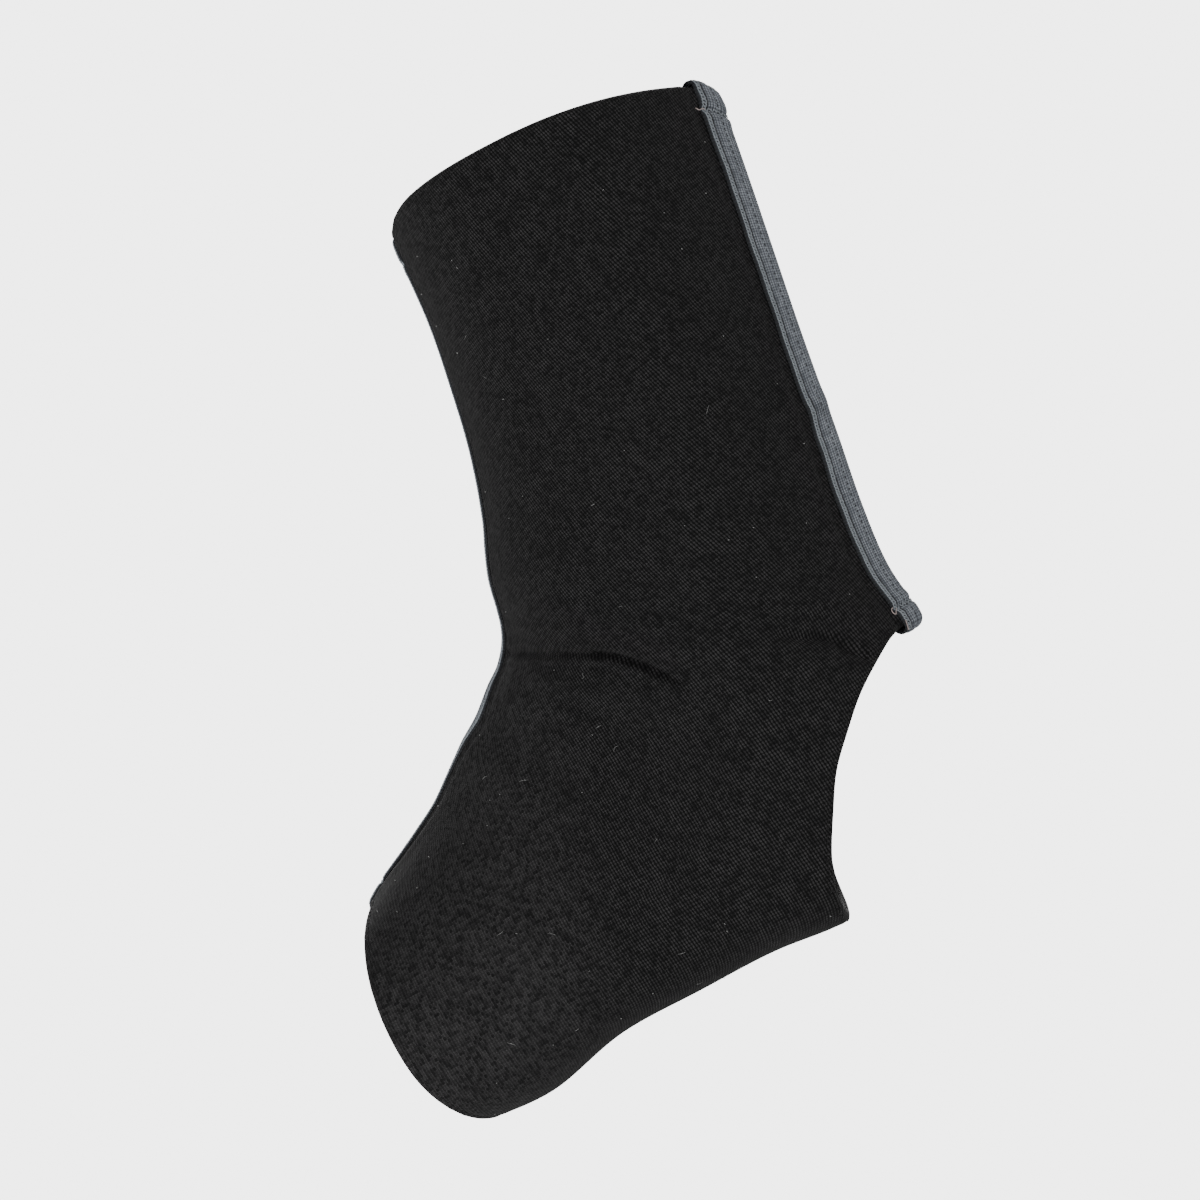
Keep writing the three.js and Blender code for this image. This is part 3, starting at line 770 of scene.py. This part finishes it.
def tape_height(path, along, across):
    """Height of the tape's face over its back: ribs, sewn grooves, tacks and rounded edges."""
    share = np.abs(across) / half_breadth(path, along)
    height = FULL_THICK * np.clip(1 - share ** 16, 0, 1) ** 0.5
    reach = share * HALF_TAPE
    ribs = 0.07 * np.cos(2 * math.pi * across / 0.86)
    height = height + ribs * np.clip((5.6 - reach) * 2, 0, 1)
    height = height - 0.3 * bell((reach - CHAIN_AT) / 0.55) - 0.34 * bell((reach - GROOVE_AT) / 0.3)
    height = height - 0.34 * bell((reach - NEEDLE_AT) / 0.34)
    height = height + 0.1 * bell((reach - 3.7) / 1.2)
    height = height + 0.25 * bell((along - 77) / 2.5) * np.clip(1 - share ** 4, 0, 1)
    for distance, tack in zip((along, path.length - along), path.tacks):
        height = height - 0.62 * bell((distance - tack) / 0.6)
        height = height + 0.4 * bell((distance - tack * 0.5) / 2.2) * np.clip(1 - share ** 4, 0, 1)
        height = height + 0.22 * bell((distance - tack - 1.9) / 1.1) * np.clip(1 - share ** 4, 0, 1)
    return np.maximum(height, 0.04) * path.thick / FULL_THICK


def make_tape(name, path, stands_for):
    along = path.along
    outer_part = along[(along > along[0]) & (along < along[-1])]
    along = np.concatenate([along[:1], outer_part, along[-1:]])
    shares = np.linspace(-1, 1, 73)
    shares = np.sign(shares) * np.abs(shares) ** 0.9
    wide = half_breadth(path, along)[:, None]
    across = shares[None] * wide
    long = np.broadcast_to(along[:, None], across.shape)
    top = path.lay(long, across, tape_height(path, long, across))[0]
    under = path.lay(long, across, 0.0)[0]
    count, columns = across.shape
    grid = np.arange(count * columns).reshape(count, columns)
    low = grid + count * columns
    quads = []

    def strip(a, b, c, d):
        quads.extend(np.stack([a.ravel(), b.ravel(), c.ravel(), d.ravel()], -1).tolist())

    strip(grid[:-1, :-1], grid[1:, :-1], grid[1:, 1:], grid[:-1, 1:])
    strip(low[:-1, :-1], low[:-1, 1:], low[1:, 1:], low[1:, :-1])
    strip(grid[:-1, 0], low[:-1, 0], low[1:, 0], grid[1:, 0])
    strip(grid[:-1, -1], grid[1:, -1], low[1:, -1], low[:-1, -1])
    strip(grid[0, :-1], grid[0, 1:], low[0, 1:], low[0, :-1])
    strip(grid[-1, :-1], low[-1, :-1], low[-1, 1:], grid[-1, 1:])
    flat = np.stack([across / wide * HALF_TAPE, long], -1).reshape(-1, 2)
    skin = np.vstack([top.reshape(-1, 3), under.reshape(-1, 3)])
    made = piece(name, skin, quads, "grey_tape", np.vstack([flat, flat]))
    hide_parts(stands_for)
    return made


front_path = SeamPath(True, TOE_ROW, 7.6, 0.65, 330)
back_path = SeamPath(False, None, 7.9, 0.9, 320)
front_tape = make_tape("front_tape", front_path, "front_seam_tape")
back_tape = make_tape("back_tape", back_path, "back_seam_tape")

grey_tape, tree, shader = new_material("grey_ribbed_tape", 0.62, 0.25, 0.18, (0.8, 0.86, 0.95, 1))
colour = knitted(
    tree, shader,
    [(0.036, 0.04, 0.048), (0.105, 0.115, 0.132), (0.265, 0.285, 0.315)],
    0.86, 0.62, 0.12, 0.0001,
)


def ridge(tree, value, centre, width):
    """1 on a line, and 0 beyond a width from it."""
    off = calc(tree, "DIVIDE", calc(tree, "SUBTRACT", value, centre), width)
    return calc(tree, "SUBTRACT", 1.0, calc(tree, "MULTIPLY", off, off), clamp=True)


def beat(tree, value, pitch, start):
    """1 at even steps along a line, and 0 between them."""
    steps = calc(tree, "MULTIPLY", calc(tree, "SUBTRACT", value, start), 2 * math.pi / pitch)
    wave = calc(tree, "COSINE", steps)
    return calc(tree, "MULTIPLY_ADD", wave, 1.2, 0.1, clamp=True)


# Needle holes between the stitches and small holes in the chain; painted shade in the groove beside the
# chain; and a painted shadow line along the tape's edge, broken by the overcast stitches.
marks_and_shade, given, gives = new_group("sewn_marks_and_painted_shade", ["Flat"], ["Mask"])
flat_mm = vector_calc(marks_and_shade, "SCALE", {0: given["Flat"], 3: FLAT_UNIT})
flat_mm = node(marks_and_shade, "ShaderNodeSeparateXYZ", {0: flat_mm}).outputs
down, reach = flat_mm["Y"], calc(marks_and_shade, "ABSOLUTE", flat_mm["X"])
holes = beat(marks_and_shade, down, NEEDLE_PITCH, 2.2)
needle = calc(marks_and_shade, "MULTIPLY", ridge(marks_and_shade, reach, NEEDLE_AT, 0.42), holes)
dots = calc(marks_and_shade, "MAXIMUM", beat(marks_and_shade, down, CHAIN_PITCH, 0.0), 0.55)
chain = calc(marks_and_shade, "MULTIPLY", ridge(marks_and_shade, reach, CHAIN_AT, 0.36), dots)
# Painted shade in the groove beside the chain.
groove_shade = calc(marks_and_shade, "MULTIPLY", ridge(marks_and_shade, reach, GROOVE_AT, 0.45), 0.95)
overcast = calc(marks_and_shade, "MULTIPLY_ADD", beat(marks_and_shade, down, CHAIN_PITCH, 0.4), -0.25, 1.0)
# A painted shadow line along the tape's edge, a little lighter at each overcast stitch.
edge_shadow_and_overcast = calc(marks_and_shade, "MULTIPLY", ridge(marks_and_shade, reach, 7.6, 0.9), overcast)
mask = needle
for more in (chain, groove_shade, edge_shadow_and_overcast):
    mask = calc(marks_and_shade, "MAXIMUM", mask, more)
marks_and_shade.links.new(mask, gives["Mask"])
marked_and_shaded = node(tree, "ShaderNodeGroup", node_tree=marks_and_shade)
tree.links.new(node(tree, "ShaderNodeUVMap", uv_map="flat").outputs[0], marked_and_shaded.inputs["Flat"])
mask = marked_and_shaded.outputs["Mask"]
# The holes, the painted shade of the groove and the painted shadow along the edge all take this near-black.
darkened = blend(tree, mask, colour, (0.005, 0.0055, 0.007, 1))
tree.links.new(calc(tree, "MULTIPLY_ADD", mask, -0.18, 0.18), shader.inputs["Sheen Weight"])
tree.links.new(darkened, shader.inputs["Base Color"])
front_tape.data.materials.append(grey_tape)
back_tape.data.materials.append(grey_tape)

# The sewing of the tapes
# Along each edge runs a chain of small loops in light grey thread, and nearer the middle two rows of
# plain stitches sink into the ribs. A dense tack in the same thread crosses each end of a tape.


def tubes(paths, normals, radius, sides=6, closed=False):
    """Round threads along rows of points. A thread that isn't closed tapers shut at both ends."""
    paths, normals = np.asarray(paths), np.asarray(normals)
    count, steps = paths.shape[:2]
    if closed:
        tangent = np.roll(paths, -1, 1) - np.roll(paths, 1, 1)
    else:
        tangent = np.gradient(paths, axis=1)
    tangent = unit(tangent)
    normal = unit(normals - tangent * np.sum(normals * tangent, -1, keepdims=True))
    sideways = np.cross(tangent, normal)
    angles = np.arange(sides) * 2 * math.pi / sides
    thick = np.broadcast_to(np.asarray(radius, float), (count, steps)).copy()
    if not closed:
        thick[:, [0, -1]] *= 0.25
    ring = normal[:, :, None] * np.cos(angles)[:, None] + sideways[:, :, None] * np.sin(angles)[:, None]
    points = paths[:, :, None] + ring * thick[:, :, None, None]
    index = np.arange(count * steps * sides).reshape(count, steps, sides)
    ahead = np.roll(index, -1, 1) if closed else index[:, 1:]
    here = index if closed else index[:, :-1]
    faces = np.stack([here, np.roll(here, -1, 2), np.roll(ahead, -1, 2), ahead], -1).reshape(-1, 4).tolist()
    if not closed:
        faces += index[:, 0, ::-1].tolist() + index[:, -1].tolist()
    return points.reshape(-1, 3), faces


def join(parts):
    points, faces, start = [], [], 0
    for more, sheets in parts:
        points.append(more)
        faces += [[v + start for v in face] for face in sheets]
        start += len(more)
    return np.vstack(points), faces


TACK_STITCHES = 18


def sew(path, seed):
    """All the thread that shows on the face of one tape."""
    chance = np.random.default_rng(seed)
    parts = []
    for side in (-1, 1):
        begin = np.arange(-1.6, path.length + 1.6, CHAIN_PITCH)
        begin = begin + chance.normal(0, 0.04, len(begin))
        swing = np.linspace(0, 2 * math.pi, 10, endpoint=False)
        long = begin[:, None] + 0.62 * np.cos(swing)
        scale = half_breadth(path, begin)[:, None] / HALF_TAPE
        breadth = 0.5 + chance.normal(0, 0.03, len(begin))[:, None]
        shift = chance.normal(0, 0.03, len(begin))[:, None]
        wide = side * (CHAIN_AT * scale + breadth * np.sin(swing) + shift)
        rise = tape_height(path, long, wide) + 0.12 + 0.1 * np.cos(swing)
        parts.append(tubes(*path.lay(long, wide, rise), 0.125, 5, closed=True))
        begin = np.arange(1.0, path.length - 1.0, NEEDLE_PITCH)
        begin = begin + chance.normal(0, 0.05, len(begin))
        reach = np.linspace(0, 1, 6)
        long = begin[:, None] + reach * 1.0
        shift = chance.normal(0, 0.05, len(begin))[:, None]
        wide = side * (NEEDLE_AT * path.half / HALF_TAPE + shift + 0.12 * (reach - 0.5))
        rise = tape_height(path, long, wide) - 0.15 + 0.2 * np.sin(math.pi * reach)
        parts.append(tubes(*path.lay(long, wide, rise), 0.15, 5))
    for tack in (path.tacks[0], path.length - path.tacks[1]):
        begin = -7.2 + 0.8 * np.arange(TACK_STITCHES) + chance.normal(0, 0.06, TACK_STITCHES)
        reach = np.linspace(0, 1, 6)
        slant = np.where(np.arange(TACK_STITCHES) % 2 == 0, 1.0, -1.0)[:, None]
        long = tack + slant * (reach - 0.5) * (0.9 + chance.normal(0, 0.15, TACK_STITCHES)[:, None])
        wide = begin[:, None] + reach * 0.8
        rise = tape_height(path, long, wide) + 0.1 + 0.3 * np.sin(math.pi * reach)
        parts.append(tubes(*path.lay(long, wide, rise), 0.14, 5))
    # Inside the sleeve, each row shows as plain stitches, sunk into the cloth.
    for across in (-CHAIN_AT, -NEEDLE_AT, NEEDLE_AT, CHAIN_AT):
        begin = np.arange(9.0, path.length - 9.0, 1.6)
        begin = begin + chance.normal(0, 0.05, len(begin))
        reach = np.linspace(0, 1, 5)
        long = begin[:, None] + reach * 1.2
        wide = across * path.half / HALF_TAPE + chance.normal(0, 0.05, len(begin))[:, None] + 0 * reach
        rise = -WALL - TAPE_GAP - 0.16 * np.sin(math.pi * reach)
        parts.append(tubes(*path.lay(long, wide, rise), 0.13, 5))
    return join(parts)


def loose_ends(path, trails):
    """Short ends of thread left hanging at the tacks: each a line of places by the tape."""
    parts = []
    for trail in trails:
        trail = between(np.linspace(0, len(trail) - 1, 16), np.array(trail, float))
        points, normals = path.lay(trail[:, 0], trail[:, 1], trail[:, 2])
        parts.append(tubes(points[None], normals[None], 0.12, 5))
    return join(parts)


def thread_material(name, dark, light, roughness, specular):
    """Spun thread: its tone varies along the ply."""
    made, tree, shader = new_material(name, roughness, specular, 0.1)
    place = node(tree, "ShaderNodeTexCoord").outputs["Object"]
    ply = noise(tree, place, 2500.0, 2.0)[0]
    tree.links.new(blend(tree, ply, (*dark, 1), (*light, 1)), shader.inputs["Base Color"])
    bumped(tree, shader, ply, 0.5, 0.00004)
    return made


thread = thread_material("light_grey_thread", (0.1, 0.112, 0.124), (0.37, 0.4, 0.43), 0.6, 0.2)
front_sewing = piece("front_tape_sewing", *sew(front_path, 3), "grey_tape")
back_sewing = piece("back_tape_sewing", *sew(back_path, 4), "grey_tape")
front_sewing.data.materials.append(thread)
back_sewing.data.materials.append(thread)
low = back_path.length
back_ends = loose_ends(back_path, [
    [(5.3, 7, 0.6), (5.1, 8.4, 1.0), (5.4, 9.6, 0.9), (5.0, 10.8, 1.0), (5.3, 11.7, 1.5)],
    [(low - 3.8, 7, 0.6), (low - 3.3, 8.8, 1.1), (low - 2.7, 10.2, 1.4), (low - 3.4, 11, 1.5),
     (low - 4.3, 10.2, 1.3), (low - 4.2, 8.8, 1.0)],
    [(low - 0.4, 7.4, 0.7), (low + 0.6, 8.6, 0.9), (low + 1.2, 9.6, 1.4)],
])
back_tails = piece("back_tape_thread_ends", *back_ends, "grey_tape")
loose_thread = thread_material("loose_thread", (0.25, 0.19, 0.18), (0.5, 0.42, 0.4), 0.6, 0.25)
back_tails.data.materials.append(loose_thread)

# The hems
# The cloth of each rim is held down by a row of plain stitches in black thread, 1.2 mm from its edge.
# The stitches sink into the knit and show on both faces.


def hem_row(row_line, turn_line, parts):
    spot = cloth(row_line, turn_line, 0)
    walked = np.concatenate([[0], np.cumsum(np.linalg.norm(np.diff(spot, axis=0), axis=1))])
    begin = np.arange(0, walked[-1] - 1.5, 1.95)
    places = begin[:, None] + np.linspace(0, 1.3, 5)
    at_row, at_turn = (np.interp(places, walked, line) for line in (row_line, turn_line))
    open_cloth = under_tape(at_row, at_turn).max(1) < 0.3
    at_row, at_turn = at_row[open_cloth], at_turn[open_cloth]
    normals = normal_of(at_row, at_turn)
    sunk = 0.16 * np.sin(np.linspace(0, math.pi, 5))
    parts.append(tubes(cloth(at_row, at_turn, -0.22 + sunk + 0 * at_row), normals, 0.11, 5))
    parts.append(tubes(cloth(at_row, at_turn, -WALL + 0.14 - sunk + 0 * at_row), normals, 0.11, 5))


hem_parts = []
round_turns = np.append(turns, 2 * math.pi)
for line in (HEM_STEPS[3] / row_length(0), TOE_ROW - HEM_STEPS[3] / row_length(TOE_ROW)):
    hem_row(np.append(line, line[0]), round_turns, hem_parts)
heel_line = np.vstack([hem_loops[3], hem_loops[3][:1]])
hem_row(heel_line[:, 0], heel_line[:, 1], hem_parts)
hem_sewing = piece("hem_sewing", *join(hem_parts), "black_knit")
black_thread = thread_material("black_thread", (0.002,) * 3, (0.012,) * 3, 0.7, 0.15)
hem_sewing.data.materials.append(black_thread)

# Lint
# Pale specks and a few short loose hairs of other cloth cling to the nap of the knit. They lie on
# its face, and nothing else holds them.
chance = np.random.default_rng(11)
LINT = 150
HAIRS = 34
lint_row = chance.uniform(0.3, TOE_ROW - 0.3, LINT)
lint_turn = chance.uniform(-math.pi, math.pi, LINT)
lint_row[:9] = [2.1, 3.4, 4.2, 8.3, 9.1, 10.2, 12.4, 13.1, 14.6]
lint_turn[:9] = [-0.75, -2.2, -1.3, -1.9, -1.2, -0.8, -2.1, -1.5, -1.9]
length = np.where(np.arange(LINT) < HAIRS, chance.uniform(1.2, 3.2, LINT), chance.uniform(0.2, 0.45, LINT))
by_row, by_turn = (np.linalg.norm(slope, axis=-1) for slope in slopes(lint_row, lint_turn, 0.01))
heading = chance.uniform(0, 2 * math.pi, LINT)
bend = chance.normal(0, 0.9, LINT)
step = np.linspace(0, 1, 7)
angle = heading[:, None] + bend[:, None] * step
at_row = lint_row[:, None] + np.cumsum(np.cos(angle), 1) * (length / by_row)[:, None] / 7
at_turn = lint_turn[:, None] + np.cumsum(np.sin(angle), 1) * (length / by_turn)[:, None] / 7
spot = form(at_row, at_turn)
free = ~inside(spot[..., [0, 2]], heel_outline).any(1) & (under_tape(at_row, at_turn).max(1) < 0.2)
free &= (at_row > 0.25).all(1) & (at_row < TOE_ROW - 0.25).all(1)
hair = (np.arange(LINT) < HAIRS) & free
speck = (np.arange(LINT) >= HAIRS) & free
over = 0.1 + 0.12 * np.sin(step * 5)
lint_parts = []
for chosen, radius in ((hair, 0.035), (speck, 0.09)):
    points = cloth(at_row[chosen], at_turn[chosen], over + 0 * at_row[chosen])
    lint_parts.append(tubes(points, normal_of(at_row[chosen], at_turn[chosen]), radius, 5))
lint = piece("lint", *join(lint_parts), "black_knit")
lint.data.materials.append(thread_material("pale_lint", (0.12, 0.12, 0.12), (0.4, 0.4, 0.39), 0.9, 0.1))

# The studio
# A seamless pale surround, seen as one even tone, with soft lamps in front, at both sides, behind
# and below.
# The camera stands level with the leg and is rolled, so the foot points down to the left.
bpy.ops.mesh.primitive_uv_sphere_add(segments=48, ring_count=24, radius=3.0, location=(0, 0, 0))
surround = bpy.context.object
surround.name = "studio_surround"
pale = bpy.data.materials.new("pale_surround")
pale.use_nodes = True
tree = pale.node_tree
tree.nodes.remove(tree.nodes["Principled BSDF"])
seen = node(tree, "ShaderNodeEmission", {"Color": (1, 1, 1, 1), "Strength": 4.4})
dim = node(tree, "ShaderNodeEmission", {"Color": (1, 1, 1, 1), "Strength": 0.35})
camera_ray = node(tree, "ShaderNodeLightPath").outputs["Is Camera Ray"]
either = node(tree, "ShaderNodeMixShader", {0: camera_ray, 1: dim.outputs[0], 2: seen.outputs[0]})
tree.links.new(either.outputs[0], tree.nodes["Material Output"].inputs["Surface"])
surround.data.materials.append(pale)

YAW = math.radians(3)
ROLL_COS, ROLL_SIN = 0.8934, 0.4493
look = np.array([-math.sin(YAW), math.cos(YAW), 0])
level = np.array([math.cos(YAW), math.sin(YAW), 0])
up = np.array([0, 0, 1.0])
right_way = level * ROLL_COS - up * ROLL_SIN
up_way = up * ROLL_COS + level * ROLL_SIN
stand = np.array([-0.0053, 0, 0.027]) - look * 1.0
camera_data = bpy.data.cameras.new("photo_camera")
camera_data.sensor_width = 36
camera_data.lens = 124.5
camera = bpy.data.objects.new("photo_camera", camera_data)
bpy.context.scene.collection.objects.link(camera)


def placed(across, upward, back, place):
    """The place of a camera or a lamp, and the way that it faces."""
    turned = np.eye(4)
    turned[:3] = np.stack([across, upward, back, place], 1)
    return Matrix(turned.tolist())


camera.matrix_world = placed(right_way, up_way, -look, stand)
bpy.context.scene.camera = camera


# Each lamp's place in metres, the side of its square face, and its power in watts
for name, place, size, power in (
    ("key_lamp", (-0.42, -0.72, 0.0), 0.6, 3.6),
    ("high_lamp", (0.1, -1.5, 0.9), 1.2, 5),
    ("left_lamp", (-1.1, -0.6, -0.2), 0.8, 4.5),
    ("right_lamp", (1.4, -0.3, 0.4), 0.9, 9),
    ("back_lamp", (0.2, 1.7, 0.6), 1.2, 45),
    ("low_lamp", (-0.1, -1.1, -0.9), 1.0, 9),
):
    data = bpy.data.lights.new(name, "AREA")
    data.size = size
    data.energy = power
    lamp = bpy.data.objects.new(name, data)
    bpy.context.scene.collection.objects.link(lamp)
    aim = unit(np.array([-0.005, 0, 0.03]) - place)
    across = unit(np.cross(aim, up))
    lamp.matrix_world = placed(across, np.cross(across, aim), -aim, place)
